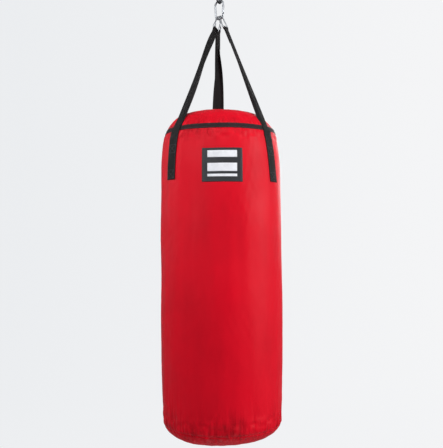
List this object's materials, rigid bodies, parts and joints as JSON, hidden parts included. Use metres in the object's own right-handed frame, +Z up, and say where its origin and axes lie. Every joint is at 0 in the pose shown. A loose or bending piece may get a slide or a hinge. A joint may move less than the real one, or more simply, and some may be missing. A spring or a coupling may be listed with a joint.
{
  "type": "hanging heavy bag",
  "caption": "Tall padded fabric punching bag hung on webbing straps, wire rings, a spring snap hook and a ball-bearing swivel.",
  "frame": {"origin": "centre of the hole in the swivel's top eye, where the bag is hung", "axes": "+Z up along the bag, -Y towards the front with the label, +Y along the hole of the top eye"},
  "size_m": [0.3486, 0.3491, 1.356],
  "materials": {
    "red_nylon": "satin",
    "black_webbing": "matte",
    "black_tape": "matte",
    "label_fabric": "satin",
    "label_print": "matte",
    "chromed_steel": "polished",
    "dark_steel": "satin",
    "bearing_steel": "polished",
    "cage_nylon": "satin",
    "spring_steel": "satin",
    "grey_felt": "matte",
    "sack_cloth": "matte",
    "rag_filling": "matte",
    "zip_tape": "matte",
    "zip_plastic": "satin",
    "zip_metal": "satin"
  },
  "bodies": {
    "swivel_top": {"swivel_top_eye": "dark_steel", "swivel_housing": "dark_steel", "swivel_lower_race": "bearing_steel"},
    "bearing": {"swivel_ball_cage": "cage_nylon", "swivel_balls": "bearing_steel"},
    "spindle": {"swivel_spindle": "dark_steel", "swivel_nut": "bearing_steel", "swivel_upper_race": "bearing_steel"},
    "hook": {"hook_body": "chromed_steel", "hook_gate_pin": "chromed_steel"},
    "gate": {"hook_gate": "chromed_steel", "hook_gate_spring": "spring_steel"},
    "bag": {"filling": "rag_filling", "inner_sack": "sack_cloth", "padding_top": "grey_felt", "padding_wall": "grey_felt", "padding_bottom": "grey_felt", "cover_top": "red_nylon", "cover_side": "red_nylon", "cover_bottom": "red_nylon", "top_band": "black_tape", "label_patch": "label_fabric", "label_print": "label_print", "strap_left": "black_webbing", "strap_right": "black_webbing", "strap_back": "black_webbing", "zip_tapes": "zip_tape", "zip_teeth": "zip_plastic", "zip_stops": "zip_metal"},
    "ring_left": {"ring_left": "chromed_steel"},
    "ring_right": {"ring_right": "chromed_steel"},
    "ring_back": {"ring_back": "chromed_steel"},
    "zip_slider": {"zip_slider": "zip_metal"},
    "zip_pull": {"zip_pull": "zip_metal"}
  },
  "joints": [
    {"name": "swivel_spin", "type": "hinge", "parent": "swivel_top", "child": "spindle", "pos_m": [0, 0, -0.0395], "axis": [0, 0, 1], "continuous": true},
    {"name": "bearing_roll", "type": "hinge", "parent": "swivel_top", "child": "bearing", "pos_m": [0, 0, -0.0395], "axis": [0, 0, 1], "continuous": true},
    {"name": "hook_swing", "type": "hinge", "parent": "spindle", "child": "hook", "pos_m": [0, 0, -0.074], "axis": [0.5736, 0.8192, 0], "range_deg": [-45, 45]},
    {"name": "gate_open", "type": "hinge", "parent": "hook", "child": "gate", "pos_m": [0.01031, -0.00722, -0.10788], "axis": [-0.5736, -0.8192, 0], "range_deg": [0, 22], "stiffness_Nm_per_rad": 0.06, "springref_deg": -20.05},
    {"name": "bag_swing", "type": "hinge", "parent": "hook", "child": "bag", "pos_m": [0, 0, -0.1217], "axis": [0.8192, -0.5736, 0], "range_deg": [-30, 30]},
    {"name": "ring_left_turn", "type": "hinge", "parent": "bag", "child": "ring_left", "pos_m": [-0.01134, -0.00952, -0.15286], "axis": [0.5213, 0.7444, -0.4172], "range_deg": [-0.7, 0.7]},
    {"name": "ring_right_turn", "type": "hinge", "parent": "bag", "child": "ring_right", "pos_m": [0.01726, -0.01256, -0.15089], "axis": [0.5789, 0.8153, -0.0094], "range_deg": [-0.7, 0.7]},
    {"name": "ring_back_turn", "type": "hinge", "parent": "bag", "child": "ring_back", "pos_m": [-0.00499, 0.01775, -0.15164], "axis": [0.6666, 0.6792, 0.3072], "range_deg": [-0.7, 0.7]},
    {"name": "zip_slide", "type": "hinge", "parent": "bag", "child": "zip_slider", "pos_m": [0, 0, -0.761], "axis": [0, 1, 0], "range_deg": [-25, 0]},
    {"name": "pull_turn", "type": "hinge", "parent": "zip_slider", "child": "zip_pull", "pos_m": [0.08382, 0, -0.39795], "axis": [0, -1, 0], "range_deg": [0, 170]}
  ],
  "couplings": [
    {"joint": "bearing_roll", "follows": "swivel_spin", "ratio": 0.5}
  ]
}
